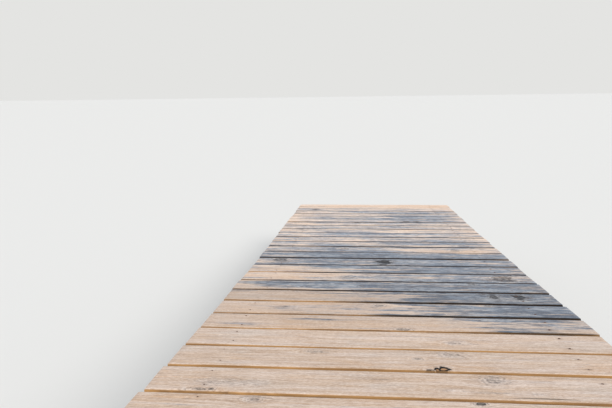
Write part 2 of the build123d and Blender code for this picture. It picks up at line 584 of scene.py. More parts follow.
# %% Peeled pine log
def log_skin(tree, place, noises):
    """Skin of a peeled log, with its checks and branch knots. Returns the colour and the checks."""
    fibre, streak, patch = noises
    skin = stain_over(
        tree,
        "#7a6858",
        (streak, 0.35, 0.66, 1.0, "#a4937f"),
        (patch, 0.45, 0.68, 0.55, "#918d88"),
        (fibre, 0.6, 0.35, 0.4, "#4f4034"),
    )
    line = from_middle(tree, stretched_noise(tree, place, 0.9, 24, 2, 0.5, 61))
    check = where_all(tree, (line, 0.018, 0.004), (patch, 0.42, 0.55))
    skin = lay_over(tree, skin, check, 0.85, "#2a211b")

    # A branch knot in each cell of 200 mm up the log and 110 mm round it
    cells = add(tree, "Mapping", Vector=place, Scale=(5.0, 9.0, 9.0))
    knot = add(tree, "TexVoronoi", Vector=cells, Scale=1.0)
    knot = add(tree, "Math", knot, off_centre(tree, fibre, 0.05), **plus)
    skin = stain_over(tree, skin, (knot, 0.24, 0.14, 0.45, "#5f4c3c"), (knot, 0.13, 0.08, 0.75, "#33271f"))
    return skin, check


def peeled_log(name):
    """Round pine pile: grey-brown skin, drying checks, a damp dark foot, rings on sawn faces."""
    material, tree, shader = new_material(name)
    place, look = (add(tree, "Attribute", attribute_name=n, out="Vector") for n in ("place", "look"))
    tone = add(tree, "SeparateXYZ", look, out="X")
    cut = add(tree, "Attribute", attribute_name="cut", out="Fac")
    fibre = stretched_noise(tree, place, 6, 260, 3, 0.6, 5)  # 170 by 4 mm
    streak = stretched_noise(tree, place, 2.2, 60, 5, 0.6, 17)  # 450 by 17 mm
    patch = stretched_noise(tree, place, 4.5, 9, 4, 0.6, 31)  # 220 by 110 mm
    skin, check = log_skin(tree, place, (fibre, streak, patch))

    # Damp up to about 170 mm over the water, green below 60 mm
    height_over_water = add(tree, "SeparateXYZ", add(tree, "TexCoord", out="Object"), out="Z")
    damp_edge = add(tree, "Math", height_over_water, off_centre(tree, streak, 120 * mm), **plus)
    damp = where_all(tree, (damp_edge, 170 * mm, 70 * mm))
    skin = lay_over(tree, skin, damp, 0.7, "#38342a")
    skin = stain_over(tree, skin, (damp_edge, 60 * mm, 35 * mm, 0.65, "#272a1b"))

    ring = growth_ring(tree, place, off_centre(tree, patch, 10 * mm), 5 * mm)
    latewood, dirt = (ring, 0.4, 0.95, 1.0, "#6e563e"), (streak, 0.6, 0.4, 0.4, "#6b5f54")
    sawn = stain_over(tree, "#a78c6c", latewood, dirt)
    colour = add(tree, "Mix", cut, skin, sawn, **colours)

    height = add(tree, "Math", streak, 0.8, fibre, **times_plus)
    height = add(tree, "Math", check, -2.0, height, **times_plus)
    finish = {
        "Base Color": add(tree, "HueSaturation", Color=colour, Value=tone),
        "Roughness": add(tree, "MapRange", damp, 0, 1, 0.82, 0.6, **smooth),
        "Normal": add(tree, "Bump", Height=height, Strength=0.7, Distance=1.6 * mm),
        "Specular IOR Level": 0.3,
    }
    give_finish(shader, finish)
    print(name, "nodes:", len(tree.nodes))
    return material


log_pine = peeled_log("peeled_pine_log")


# %% [markdown]
# ## Fasteners
#
# Plain steel nails, bolts and washers rust within a season beside water. Rust is not a metal to the
# eye: it is a rough brown oxide in blooms of about 6 mm, with a little bare dark steel left.


# %% Rusted steel
def rusted_steel(name):
    """Mild steel under a rough skin of rust."""
    material, tree, shader = new_material(name)
    spot = add(tree, "TexCoord", out="Object")
    blooms = add(tree, "TexNoise", Vector=spot, Scale=160.0, Detail=5.0, Roughness=0.65)
    finish = {
        "Base Color": stain_over(tree, "#3a2a22", (blooms, 0.35, 0.65, 1.0, "#6b4127")),
        "Normal": add(tree, "Bump", Height=blooms, Strength=0.5, Distance=0.6 * mm),
        "Metallic": 0.35,
        "Roughness": 0.68,
    }
    give_finish(shader, finish)
    print(name, "nodes:", len(tree.nodes))
    return material


rust = rusted_steel("rusted_mild_steel")


# %% [markdown]
# ## Reading the planks from the model
#
# Each bay of the deck is one node with twelve separate planks in it. Finding the islands of joined
# faces gives every plank its own box in deck directions, so the dressed plank lies exactly where the
# plain one did.


# %% Plank boxes
weld = 0.01 * mm


def islands(node):
    """The separate solids in a node, each as its corner points."""
    bm = bmesh.new()
    bm.from_mesh(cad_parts[node].data)
    bmesh.ops.remove_doubles(bm, verts=bm.verts, dist=weld)
    left, groups = set(bm.verts), []
    while left:
        stack, group = [left.pop()], []
        while stack:
            vert = stack.pop()
            group.append(vert.co.copy())
            joined = {edge.other_vert(vert) for edge in vert.link_edges} & left
            left -= joined
            stack.extend(joined)
        groups.append(group)
    bm.free()
    return groups


def deck_box(points):
    """Lowest and highest place of some points, in deck directions."""
    turned = np.array([model_to_deck @ p for p in points])
    return turned.min(0), turned.max(0)


bays = (1, 2, 3, 4)
planks = []
for bay in bays:
    boxes = [deck_box(points) for points in islands(f"deck_planks_bay_{bay}")]
    planks += [(bay, low, high) for low, high in sorted(boxes, key=lambda box: box[0][1])]
deck_length = planks[-1][2][1]
print("planks:", len(planks), "first is", [round(float(v), 3) for v in planks[0][2] - planks[0][1]])

# %% [markdown]
# ## Where the knots and nails are
#
# Knots that can be made out on the real deck are listed by place. The rest of the planks get small
# knots by a seeded draw, at about the rate common pine has them. Nails are driven in pairs over each
# stringer, and no carpenter lays every plank dead straight, so some leave a wider gap.

# %% Knots and nails
# millimetres across the deck, along it from the lake end, half length and half width, and darkness:
# 0 is a pale mark in the grain, 0.9 a sound black knot, 1 a knot that has broken out
seen_knots = [
    (5, 2474, 31, 37, 0.98),
    (-20, 2484, 40, 9, 0.93),
    (-75, 2476, 34, 26, 0.0),
    (-489, 2450, 34, 38, 0.8),
    (478, 2800, 40, 50, 0.8),
    (-20, 2790, 40, 26, 0.1),
    (381, 3096, 18, 24, 0.9),
    (472, 3096, 20, 26, 0.95),
    (-36, 3236, 20, 14, 0.65),
    (30, 3500, 22, 13, 0.7),
    (166, 3615, 18, 12, 0.35),
    (-226, 3717, 20, 8, 0.4),
    (140, 3712, 26, 15, 0.3),
    (93, 3822, 7, 10, 1.0),
    (108, 3820, 11, 13, 1.0),
    (74, 3829, 11, 6, 0.9),
    (215, 3876, 20, 25, 0.5),
    (205, 3955, 44, 5, 0.15),
    (164, 4014, 11, 9, 0.93),
    (-474, 3983, 22, 8, 0.65),
    (-447, 3980, 9, 7, 0.8),
    (-418, 3937, 40, 17, 0.12),
    (-341, 4031, 14, 10, 0.4),
    (-472, 353, 32, 44, 0.85),
    (198, 1105, 34, 46, 0.85),
    (280, 1102, 30, 46, 0.85),
    (-552, 1138, 26, 36, 0.7),
    (-130, 1145, 24, 32, 0.7),
    (-487, 1443, 26, 34, 0.7),
    (-185, 2131, 20, 24, 0.6),
    (374, 2172, 22, 26, 0.6),
    (-158, 2816, 20, 24, 0.45),
]

# How much further a crooked plank stays from its neighbour ashore: millimetres at left and at right
crooked = {3: (2, 3), 6: (5, 1), 7: (1, 5), 8: (4, 2), 11: (1, 4), 12: (5, 0), 13: (4, 0), 14: (1, 4)}
crooked |= {15: (0, 3), 16: (1, 1), 17: (4, 1), 18: (1, 3), 19: (0, 6), 20: (2, 6), 21: (0, 5)}
crooked |= {29: (2, 4), 35: (4, 1), 42: (0, 4)}
chooser = Random(17)


def plank_knots(low, high):
    """Knots on one plank, as (across the deck, along it, half length, half width, darkness)."""
    inside = [k for k in seen_knots if low[1] - 4 * mm < k[1] * mm < high[1] + 4 * mm]
    found = [tuple(v * mm for v in k[:4]) + (k[4],) for k in inside]
    for _ in range(chooser.choice((0, 1)) if found else chooser.choice((1, 1, 2, 3))):
        size = chooser.choice((4, 5, 6, 8, 11)) * chooser.uniform(0.8, 1.2) * mm
        x = chooser.uniform(low[0] + 60 * mm, high[0] - 60 * mm)
        along = chooser.uniform(low[1] + 12 * mm, high[1] - 12 * mm)
        found.append((x, along, size * chooser.uniform(1.2, 1.8), size, chooser.uniform(0.3, 0.8)))
    return found


def plank_nails(low, high):
    """Four nails: a pair over each stringer, 70 to 90 mm apart."""
    middle = (low[1] + high[1]) / 2
    spots = []
    for line, half in ((-stringer_line, 46 * mm), (stringer_line, 37 * mm)):
        for side in (-1, 1):
            x = line + chooser.uniform(-6, 6) * mm
            spots.append((x, middle + side * half + chooser.uniform(-7, 7) * mm))
    return spots


plan = []
for index, (bay, low, high) in enumerate(planks):
    knots, nails = plank_knots(low, high), plank_nails(low, high)
    board = SimpleNamespace(index=index, bay=bay, knots=knots, nails=nails)
    board.length, board.width = high[0] - low[0], high[1] - low[1]
    board.centre = ((low[0] + high[0]) / 2, (low[1] + high[1]) / 2)
    plan.append(board)
print("knots:", sum(len(b.knots) for b in plan), "nails:", sum(len(b.nails) for b in plan))

# %% [markdown]
# ## Where the wood has silvered and is painted in shade
#
# Pine greys where sun, spray and wet leaves work on it longest. Here the outer half of the deck is
# grey in wide patches, most of all in a band near its middle, and these are silvering and painted
# dappled shade together. The last planks and those just ashore of the band stay warm, and the warm
# patches are painted sunlight. Milder patches of silvering follow towards the shore. Each patch
# below is a soft oval, and the shader breaks its edge up along the grain.

# %% Silvering and painted shade
# millimetres across the deck, along it, half size across and half size along, and how much
grey_and_shade_patches = [
    (100, 2500, 900, 420, 0.72),
    (-250, 2330, 380, 260, 0.25),
    (430, 3010, 420, 330, 0.55),
    (60, 3010, 330, 150, 0.35),
    (480, 3330, 340, 220, 0.62),
    (-350, 2935, 260, 60, 0.7),
    (400, 1900, 320, 110, 0.45),
    (-190, 1700, 200, 170, 0.3),
    (330, 900, 330, 330, 0.7),
    (-330, 960, 330, 130, 0.45),
    (-330, 1420, 200, 120, 0.3),
    (-440, 340, 200, 110, 0.35),
    (0, 1250, 700, 900, 0.2),
    (60, 1620, 600, 80, 0.25),
    (60, 560, 500, 120, 0.3),
    (-280, 4850, 330, 230, 0.2),
    (350, 5350, 360, 300, 0.28),
    (-200, 5900, 420, 200, 0.18),
    (150, 6500, 420, 260, 0.25),
    (-420, 6950, 260, 260, 0.3),
    (330, 7350, 360, 200, 0.22),
]
# Painted sunlight: warm patches that take the grey and the painted shade away
sunlit_warm_patches = [
    (-520, 2740, 330, 110, 0.7),
    (-400, 3180, 430, 170, 0.5),
    (330, 2210, 260, 60, 0.6),
    (0, 60, 900, 130, 0.5),
]


def silver_and_shade_at(across, along):
    """How silvered and how deep in painted shade the face is: below 0 not at all, above 0.7 fully."""
    total = np.full(len(across), 0.02)
    for sign, patches in ((1, grey_and_shade_patches), (-1, sunlit_warm_patches)):
        for x, y, wide, deep, strength in patches:
            far = ((across - x * mm) / (wide * mm)) ** 2 + ((along - y * mm) / (deep * mm)) ** 2
            total += sign * strength * np.exp(-far)
    # The planks from about 3.6 to 4.2 m are kept warm, with no grey and no painted shade
    return total - 0.7 * np.clip((along - 3.3) / 0.35, 0, 1) * np.clip((4.9 - along) / 0.7, 0, 1)


# How light the planks are at some places along the deck, in metres from the lake end. This is
# painted light and shade: the outer planks are painted up to 40 % lighter, those near 3.1 m darker
tone_places = (0, 0.5, 1.6, 2.1, 2.4, 2.85, 3.1, 3.25, 7.7)
painted_light_tones = (1.4, 1.4, 1.37, 1.26, 1.11, 1.19, 0.88, 1.02, 1)
print("silver in the grey band:", round(float(silver_and_shade_at(np.array([0.2]), np.array([2.5]))[0]), 2))


# %% [markdown]
# ## One plank, as a grid
#
# A plank starts as a grid, because its face needs many points to carry cupping, worn edges and
# splits. It has a row every 11 mm across and a column every 10 mm along, with three close rows at
# each split. The grid is extruded down to the plank's thickness, and its long edges are bevelled,
# because years of feet round them before anything else.


# %% Plank grid
touching = 1e-6
plank_columns = 120
plank_rows = 14


def grid_rows(width, splits, count):
    """Places of the rows across a plank, with three close rows at each split."""
    rows = [(-0.5 + i / count) * width for i in range(count + 1)]
    for place in splits:
        rows = [r for r in rows if abs(r - place) > 5 * mm or abs(abs(r) - width / 2) < touching]
        rows += [place - 1.2 * mm, place, place + 1.2 * mm]
    return sorted(rows)


def to_mesh(bm, name):
    """Turn a bmesh into a mesh, and let the bmesh go."""
    mesh = bpy.data.meshes.new(name)
    bm.to_mesh(mesh)
    bm.free()
    return mesh


def stand(name, data):
    """Put a mesh, a lamp or a camera into the scene as an object."""
    thing = bpy.data.objects.new(name, data)
    bpy.context.scene.collection.objects.link(thing)
    return thing


def plank_grid(board):
    """A flat plank round the origin, its face at height zero."""
    rows = grid_rows(board.width, board.splits, plank_rows)
    bm = bmesh.new()
    bmesh.ops.create_grid(bm, x_segments=plank_columns, y_segments=len(rows) - 1, size=0.5)
    for vert in bm.verts:
        row = round((vert.co.y + 0.5) * (len(rows) - 1))
        vert.co = Vector((vert.co.x * board.length, rows[row], 0))
    grown = bmesh.ops.extrude_face_region(bm, geom=bm.faces[:])
    lower = [v for v in grown["geom"] if isinstance(v, bmesh.types.BMVert)]
    bmesh.ops.translate(bm, verts=lower, vec=(0, 0, -board_thick))
    bmesh.ops.recalc_face_normals(bm, faces=bm.faces)
    long_edges = []
    for edge in bm.edges:
        first, second = (v.co for v in edge.verts)
        runs_along = abs(first.y - second.y) < touching and abs(first.z - second.z) < touching
        if runs_along and abs(abs(first.y) - board.width / 2) < touching:
            long_edges.append(edge)
    bmesh.ops.bevel(
        bm, geom=long_edges, offset=4 * mm, segments=3, profile=0.5, affect="EDGES", material=-1
    )
    return to_mesh(bm, f"plank_{board.index + 1:02d}")


print("rows of one bare plank:", len(grid_rows(2 * plank_half_width, [], plank_rows)))


# %% [markdown]
# ## Wear
#
# The points of the grid are then moved as decades outdoors would move them. The face cups and sags,
# the long edges wander as saw and feet leave them, the ends are a little out of square, a knot on
# the very edge breaks out, and splits run in from an end and close up. The underside stays flat,
# because it lies on the stringers.


# %% Wear
def wave(values, seed, step):
    """Smooth random wander of about plus or minus one, repeating after no short length."""
    spots = [Vector((float(v) / step, seed * 7.31, seed * 1.7)) for v in values]
    return np.array([noise.noise(spot) * 1.7 for spot in spots])


def cup_face(board, rng):
    """Cupping and a slight unevenness of the face."""
    board.z -= board.upper * rng.uniform(0, 1.5) * mm
    cup = rng.uniform(-1, 1) * 1.0 * mm
    bow = (2 * board.y / board.width) ** 2
    sag = np.where(cup > 0, bow, 1 - bow) * abs(cup)
    low_places = 0.35 * mm * (1 + wave(board.columns, board.index + 0.3, 0.35))
    board.z -= board.upper * (sag + np.interp(board.x, board.columns, low_places))


def wander_edges(board):
    """Long edges that wander, more at the top where they are worn, and the crooked planks' gaps."""
    side = np.sign(board.y)
    near_edge = np.clip((np.abs(board.y) / (board.width / 2) - 0.72) / 0.28, 0, 1)
    right, left = (
        wave(board.columns, seed, 0.21) + 0.5 * wave(board.columns, seed + 0.06, 0.045)
        for seed in (board.index + 0.11, board.index + 0.71)
    )
    wander = np.where(
        side > 0, np.interp(board.x, board.columns, right), np.interp(board.x, board.columns, left)
    )
    board.y -= side * near_edge * (1.3 + 0.9 * wander) * mm * (0.5 + 0.5 * board.upper)
    gaps = crooked.get(board.index, (0, 0))
    lean = np.interp(board.x, (-board.length / 2, board.length / 2), gaps) * mm
    board.y -= np.clip(board.still[:, 1] / board.width + 0.5, 0, 1) * lean


def wear_ends(board, rng):
    """Ends a little out of square, with worn arrises."""
    skew = rng.uniform(-1, 1) * 2.0 * mm
    at_end = np.clip((np.abs(board.x) / (board.length / 2) - 0.985) / 0.015, 0, 1)
    board.x -= np.sign(board.x) * at_end * (1.0 * mm + skew * (board.y / board.width))
    board.z -= at_end * board.upper**6 * 1.2 * mm


def break_edge_knots(board):
    """A dark knot on the very edge has broken out."""
    for x, along, half_long, half_wide, darkness in board.knots:
        from_centre = along - board.centre[1]
        if board.width / 2 - abs(from_centre) < 9 * mm and darkness > 0.9:
            off_x = (board.still[:, 0] + board.centre[0] - x) / half_long
            off_y = (board.still[:, 1] + board.centre[1] - along) / half_wide
            share = np.clip(1.15 - np.hypot(off_x, off_y), 0, 1) * board.upper**4
            board.z -= share * 7 * mm
            board.y -= np.sign(from_centre) * share * 4 * mm


def open_splits(board, rng):
    """Splits 6 mm deep that run in from one end and close up."""
    face = board.still[:, 2] > -0.1 * mm
    for place in board.splits:
        end = rng.choice((-1, 1))
        reach = rng.uniform(60, 240) * mm
        open_share = np.clip(1 - (board.length / 2 - end * board.still[:, 0]) / reach, 0, 1)
        on_line = face & (np.abs(board.still[:, 1] - place) < 0.3 * mm)
        board.z[on_line] -= open_share[on_line] ** 0.5 * 6 * mm


print("crooked planks:", len(crooked), "widest extra gap:", max(map(max, crooked.values())), "mm")


# %% [markdown]
# ## Attributes
#
# The shader needs to know where it is on the plank, in the log, and from the nearest knot and nail.
# Knots and nails are stored at face corners, because the nearest one changes from face to face, and
# a value shared by two faces would smear between them.


# %% Attributes
def set_vectors(mesh, name, domain, values):
    """Store three numbers for each point or face corner."""
    layer = mesh.attributes.new(name, "FLOAT_VECTOR", domain)
    layer.data.foreach_set("vector", np.ascontiguousarray(values, dtype=np.float32).ravel())


def nearest(points, things, half_sizes):
    """Which thing lies nearest each point, measured in the things' half sizes."""
    offsets = (points[:, None, :] - np.array(things)[None, :, :]) / np.array(half_sizes)[None, :, :]
    return (offsets**2).sum(2).argmin(1)


def write_corner_offsets(mesh, places, name, things, sizes, third):
    """For each face corner, the offset to the thing nearest its face, in that thing's half sizes."""
    loops = np.empty(len(mesh.loops), np.int32)
    mesh.loops.foreach_get("vertex_index", loops)
    totals = np.empty(len(mesh.polygons), np.int32)
    mesh.polygons.foreach_get("loop_total", totals)
    owner = np.repeat(np.arange(len(totals)), totals)
    flat = places[loops, :2]
    middles = np.zeros((len(totals), 2))
    np.add.at(middles, owner, flat)
    middles /= totals[:, None]
    pick = nearest(middles, things, sizes)[owner]
    offset = np.clip((flat - np.array(things)[pick]) / np.array(sizes)[pick], -40, 40)
    set_vectors(mesh, name, "CORNER", np.column_stack((offset, np.array(third)[pick])))


def write_cut_ends(mesh, places):
    """Mark the faces that were sawn across the grain."""
    ends = np.zeros(len(mesh.polygons), np.float32)
    low, high = places[:, 0].min() + 4 * mm, places[:, 0].max() - 4 * mm
    for polygon in mesh.polygons:
        along = [places[v][0] for v in polygon.vertices]
        if max(along) - min(along) < 1.5 * mm and (max(along) < low or min(along) > high):
            ends[polygon.index] = 1
    mesh.attributes.new("cut", "FLOAT", "FACE").data.foreach_set("value", ends)


def dress_attributes(mesh, board):
    """Write place, log, look, knot, nail and cut on a plank's mesh."""
    rng = Random(5000 + board.index)
    still, centre = board.still, board.centre
    pith_side = rng.choice((-1, 1)) * rng.uniform(0.03, 0.14)
    pith = np.array((rng.uniform(0, 50), rng.uniform(-0.03, 0.03), pith_side))

    # The outer side of the first and the last plank is open to the weather, so it counts as face
    weathered = still.copy()
    open_side = {0: -1, len(planks) - 1: 1}.get(board.index, 0)
    weathered[open_side * still[:, 1] > 70 * mm, 2] *= 0.02
    set_vectors(mesh, "place", "POINT", weathered)
    set_vectors(mesh, "log", "POINT", still + pith)

    # How silvered and how deep in painted shade each point is
    silver = silver_and_shade_at(still[:, 0] + centre[0], still[:, 1] + centre[1]) + rng.uniform(-0.12, 0.12)
    # Each plank's own tone, times the painted light and shade along the deck
    tone = np.full(len(still), rng.uniform(0.97, 1.03) * np.interp(centre[1], tone_places, painted_light_tones))
    set_vectors(mesh, "look", "POINT", np.column_stack((tone, silver, np.zeros(len(still)))))

    spots = [(k[0] - centre[0], k[1] - centre[1]) for k in board.knots]
    sizes, darkness = [k[2:4] for k in board.knots], [k[4] for k in board.knots]
    write_corner_offsets(mesh, still, "knot", spots, sizes, darkness)

    # Nails over the right stringer lie bare, and those over the left one are driven deeper
    spots = [(n[0] - centre[0], n[1] - centre[1]) for n in board.nails]
    bare = [1.0 if n[0] > 0 else 0.4 for n in board.nails]
    write_corner_offsets(mesh, still, "nail", spots, [(7 * mm, 7 * mm)] * len(spots), bare)
    write_cut_ends(mesh, still)


# %% [markdown]
# ## The dressed planks
#
# Each plank is made flat round the origin, worn, and then carried to its place by the deck's matrix.
# That matrix mirrors, because "along" runs backwards through the model, and a mirror turns a shell
# inside out, so the faces are flipped back.


# %% Dressed planks
def plank_object(board):
    """A worn plank, in its place, with its attributes."""
    rng = Random(1000 + board.index)
    board.splits = [rng.uniform(-0.36, 0.36) * board.width for _ in range(rng.choice((1, 2)))]
    mesh = plank_grid(board)
    flat = np.empty(len(mesh.vertices) * 3)
    mesh.vertices.foreach_get("co", flat)
    board.still = flat.reshape(-1, 3)
    board.x, board.y, board.z = board.still.T.copy()
    board.upper = np.clip(1 + board.z / board_thick, 0, 1)
    board.columns = np.unique(np.round(board.x, 6))
    cup_face(board, rng)
    wander_edges(board)
    wear_ends(board, rng)
    break_edge_knots(board)
    open_splits(board, rng)
    worn = np.column_stack((board.x, board.y, board.z)) + np.array((*board.centre, 0))
    mesh.vertices.foreach_set("co", worn.ravel())
    mesh.transform(deck_to_model)
    mesh.flip_normals()
    dress_attributes(mesh, board)
    mesh.materials.append(deck_pine)
    return stand(mesh.name, mesh)


plank_pieces = {bay: [] for bay in bays}
for board in plan:
    plank_pieces[board.bay].append(plank_object(board))
print("faces on one plank:", len(plank_pieces[1][0].data.polygons))

# %% [markdown]
# ## Joining a bay
#
# The twelve planks of a bay are joined into one piece that stands for the bay's node. Smooth
# shading with sharp corners kept lets the bevels catch the light without showing facets.


# %% Join the bays
def join(pieces, name):
    """Join some objects into one."""
    with bpy.context.temp_override(active_object=pieces[0], selected_editable_objects=pieces):
        bpy.ops.object.join()
    whole = pieces[0]
    whole.name = whole.data.name = name
    return whole


def smooth_with_corners(mesh, angle=32):
    """Smooth shading, but for corners sharper than an angle."""
    mesh.polygons.foreach_set("use_smooth", np.ones(len(mesh.polygons), bool))
    mesh.set_sharp_from_angle(angle=radians(angle))


for bay, pieces in plank_pieces.items():
    whole = join(pieces, f"weathered_planks_bay_{bay}")
    smooth_with_corners(whole.data)
    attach(whole, "root")
    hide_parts(f"deck_planks_bay_{bay}")
    print(whole.name, "faces:", len(whole.data.polygons))

# %% [markdown]
# ## Nails
#
# A nail head is a small flat disc with a sloping rim, driven a little under the face. Two hundred
# are needed, so each has only a dozen faces. Those over the left stringer were driven deeper, the
# wood has closed over their rims, and less of them shows.


# %% Nail heads
def facing(out):
    """A turn that carries straight up to some other direction."""
    return Vector((0, 0, 1)).rotation_difference(out).to_matrix().to_4x4()


def nail_head(bm, spot, out, radius):
    """One head, driven a little below the face, with the direction out of that face."""
    matrix = Matrix.Translation(spot - out * 1.3 * mm) @ facing(out)
    bmesh.ops.create_cone(
        bm, cap_ends=True, segments=10, radius1=radius, radius2=radius * 0.8, depth=1.6 * mm, matrix=matrix
    )


def fastener_piece(bm, name):
    """Turn a bmesh of nails or bolts into a piece of rusted steel."""
    bmesh.ops.recalc_face_normals(bm, faces=bm.faces)
    mesh = to_mesh(bm, name)
    mesh.materials.append(rust)
    smooth_with_corners(mesh, 30)
    piece = stand(name, mesh)
    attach(piece, "root")
    print(name, "faces:", len(mesh.polygons))
    return piece


header_setback = 20 * mm
nails_bm = bmesh.new()
for board in plan:
    for across, along in board.nails:
        radius = chooser.uniform(3.0, 3.7) * (1 if across > 0 else 0.75) * mm
        nail_head(nails_bm, deck_to_model @ Vector((across, along, 0)), above_deck, radius)
for along, out in ((header_setback, -along_deck), (deck_length - header_setback, along_deck)):
    for line in (-stringer_line, stringer_line):
        for depth in (70 * mm, 120 * mm, 170 * mm):
            spot = Vector((line + chooser.uniform(-12, 12) * mm, along, -depth))
            nail_head(nails_bm, deck_to_model @ spot, out, 4 * mm)
deck_nails = fastener_piece(nails_bm, "deck_nails")


# %% [markdown]
# ## Sawn framing
#
# Stringers, caps, braces and headers are plain prisms in the model. A copy of each is merged, its
# flat faces are joined back from triangles, its edges are eased and it is cut into short lengths,
# so that its faces can be moved by half a millimetre as rough sawn timber is. Each kind of timber
# has its grain along its length, and the shader has to be told which way that is.


# %% Framing helpers
def dressed_copy(node, ease=0):
    """A bmesh of a node with clean flat faces, and its edges eased."""
    bm = bmesh.new()
    bm.from_mesh(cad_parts[node].data)
    bmesh.ops.remove_doubles(bm, verts=bm.verts, dist=weld)
    bmesh.ops.dissolve_limit(bm, angle_limit=radians(1), verts=bm.verts, edges=bm.edges)
    bmesh.ops.recalc_face_normals(bm, faces=bm.faces)
    if ease:
        bmesh.ops.bevel(
            bm, geom=bm.edges[:], offset=ease, segments=2, profile=0.5, affect="EDGES", material=-1
        )
    return bm


def everything(bm):
    """All of a bmesh, as the cutting operator wants it."""
    return bm.verts[:] + bm.edges[:] + bm.faces[:]


def cut_along(bm, axis, start, end, every):
    """Cut a mesh across an axis at even steps."""
    place = start + every
    while place < end - every / 2:
        bmesh.ops.bisect_plane(bm, geom=everything(bm), plane_co=axis * place, plane_no=axis)
        place += every


def grain_frame(node):
    """Grain, width and depth directions of a sawn timber."""
    x_way, y_way, z_way = Matrix.Identity(3)
    if node.startswith("stringer"):
        return along_deck, x_way, above_deck
    if node.startswith("header"):
        return x_way, above_deck, along_deck
    low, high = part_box(node)
    if node.startswith("side_brace"):
        run = Vector((0, low.y - high.y, high.z - low.z)).normalized()
        return run, run.cross(x_way), x_way
    if node.startswith("cross_brace"):
        rise = (high.z - low.z) * (1 if "shore" in node else -1)
        run = Vector((high.x - low.x, 0, rise)).normalized()
        return run, run.cross(y_way), y_way
    return x_way, z_way, y_way


print("a cap's grain runs along", tuple(grain_frame("cap_lake_bent_1")[0]))

# %% [markdown]
# ## The dressed framing
#
# The framing gets the same attributes as the planks, so one material serves both. It counts as half
# sheltered, has its own knots by a seeded draw, and no nails in its faces.


# %% Dressed framing
def saw_marks(spot, number):
    """How far a rough sawn face stands out at a place, or in where it is negative."""
    return 0.5 * mm * (noise.noise(Vector(spot) * 9 + Vector((number * 3.1, 0, 0))) - 0.6)


def timber_attributes(mesh, place, rng):
    """Write place, log, look, knot, nail and cut on a framing timber's mesh."""
    pith = np.array((rng.uniform(0, 50), rng.uniform(-0.02, 0.02), rng.uniform(0.0, 0.08)))
    look = (rng.uniform(0.9, 1.06), rng.uniform(-0.1, 0.3), 0.35)
    half = place.max(0)
    knots = [
        (rng.uniform(-half[0], half[0]) * 0.9, rng.uniform(-half[1], half[1]) * 0.7)
        for _ in range(max(2, int(half[0] * 4)))
    ]
    sizes = [(rng.uniform(12, 22) * mm, rng.uniform(8, 13) * mm) for _ in knots]
    darkness = [rng.uniform(0.2, 0.7) for _ in knots]
    set_vectors(mesh, "place", "POINT", place * (1, 0, 0))
    set_vectors(mesh, "log", "POINT", place + pith)
    set_vectors(mesh, "look", "POINT", np.tile(look, (len(place), 1)))
    write_corner_offsets(mesh, place, "knot", knots, sizes, darkness)
    # No nail: the nearest is far out of reach
    write_corner_offsets(mesh, place, "nail", [(50.0, 50.0)], [(0.01, 0.01)], [0.0])
    write_cut_ends(mesh, place)


def sawn_timber(node, number):
    """A dressed sawn timber that stands for a node."""
    frame_ways = grain_frame(node)
    grain = frame_ways[0]
    bm = dressed_copy(node, ease=2.5 * mm)
    reach = [grain.dot(v.co) for v in bm.verts]
    cut_along(bm, grain, min(reach), max(reach), 60 * mm)
    bm.normal_update()
    points = np.array([v.co for v in bm.verts])
    normals = np.array([v.normal for v in bm.verts])
    shift = np.array([saw_marks(p, number) for p in points])
    mesh = to_mesh(bm, node + "_timber")
    mesh.vertices.foreach_set("co", (points + normals * shift[:, None]).ravel())
    place = points @ np.array(frame_ways).T
    place -= (place.min(0) + place.max(0)) / 2
    timber_attributes(mesh, place, Random(9000 + number))
    mesh.materials.append(framing_pine)
    smooth_with_corners(mesh)
    return stand(mesh.name, mesh)


sawn_nodes = sorted(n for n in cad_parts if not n.startswith(("deck_planks", "pile")))
for number, node in enumerate(sawn_nodes):
    piece = sawn_timber(node, number)
    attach(piece, "root")
    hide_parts(node)
print("sawn timbers:", len(sawn_nodes))

# %% [markdown]
# ## Piles
#
# A pile is a log, so no two of its sections are the same circle. The copy of the notched log is cut
# into short drums and narrow staves, so that there are points to move on its round skin. Which
# faces are skin follows from how far out they lie and whether they face straight out. Extra cuts
# follow the drying checks, the long splits that a whole log gets because its outside shrinks more
# than its heart.


# %% Staves and skin
pile_radius = 85 * mm
staves = 24
check_half_width = 0.02  # radians round the log, 1.7 mm on its skin


def skin_faces(bm, centre):
    """The faces on the round of a log: far from its heart, and facing straight out."""
    skin = set()
    for face in bm.faces:
        out = face.calc_center_median() - centre
        out.z = 0
        if out.length > 0.95 * pile_radius and face.normal.dot(out.normalized()) > 0.93:
            skin.add(face)
    return skin


def skin_points(bm, skin):
    """Which points may move: those whose faces are all skin, but for the flat foot."""
    movable = []
    for vert in bm.verts:
        faces = vert.link_faces
        free = all(f in skin or f.normal.z < -0.99 for f in faces)
        movable.append(free and any(f in skin for f in faces))
    return np.array(movable)


def drying_checks(rng, height):
    """Where a log has split as it dried: the turn round it, its middle and half its length."""
    checks = []
    for turn in (rng.uniform(-2.9, -0.3), rng.uniform(0.3, 2.9), rng.uniform(-1, 1)):
        middle, half = rng.uniform(0.2, 0.9) * height, rng.uniform(0.15, 0.45) * height
        checks.append((turn, middle, half))
    return checks


def cut_staves(bm, centre, height, checks):
    """Cut a log into staves and drums, with narrow staves at the checks."""
    turns = [pi * k / staves for k in range(staves)]
    turns += [turn + step for turn, _, _ in checks for step in (-check_half_width, 0, check_half_width)]
    for turn in turns:
        normal = Vector((-sin(turn), cos(turn), 0))
        bmesh.ops.bisect_plane(bm, geom=everything(bm), plane_co=centre, plane_no=normal, dist=0.05 * mm)
    cut_along(bm, Vector((0, 0, 1)), 0, height, 35 * mm)
    bm.normal_update()


print("a check is", round(2 * check_half_width * pile_radius / mm, 1), "mm wide at the skin")

# %% [markdown]
# ## The dressed piles
#
# The points of the skin are moved in by a few millimetres, most along the checks. The sawn notches
# and flats stay where the carpenter cut them, so the caps and braces still fit.


